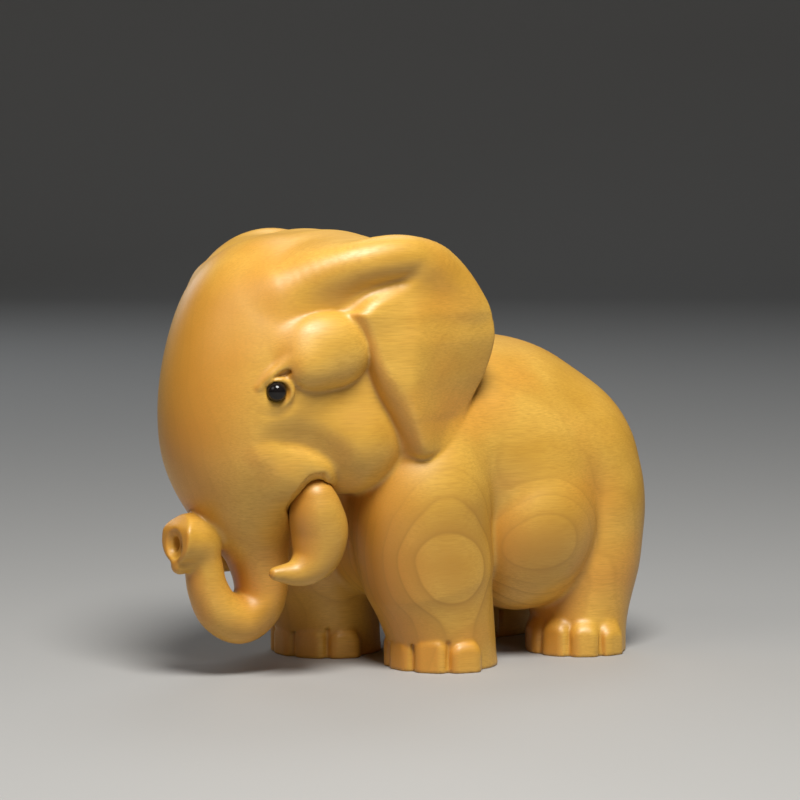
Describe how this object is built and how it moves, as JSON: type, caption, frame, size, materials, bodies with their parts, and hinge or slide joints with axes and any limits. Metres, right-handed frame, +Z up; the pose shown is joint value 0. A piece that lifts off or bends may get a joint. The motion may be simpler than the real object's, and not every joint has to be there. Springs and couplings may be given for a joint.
{
  "type": "carved wooden elephant figurine",
  "caption": "Palm-sized carved wooden elephant, standing with a lowered head, curled trunk, inset tusks and bead eyes, for display on a shelf or desk.",
  "frame": {"origin": "middle of the overall box on the plane of the soles", "axes": "+Z up, the elephant faces -Y, its left side is +X"},
  "size_m": [0.0404, 0.0774, 0.062],
  "materials": {
    "carved_wood": "satin, fine-sanded and waxed pale golden boxwood",
    "tusk_wood": "satin, fine-sanded and waxed, slightly paler than the block",
    "eye_bead": "polished black bead"
  },
  "bodies": {
    "root": {"carved_body": "carved_wood", "tusk_left": "tusk_wood", "tusk_right": "tusk_wood", "eye_left": "eye_bead", "eye_right": "eye_bead"}
  },
  "joints": []
}
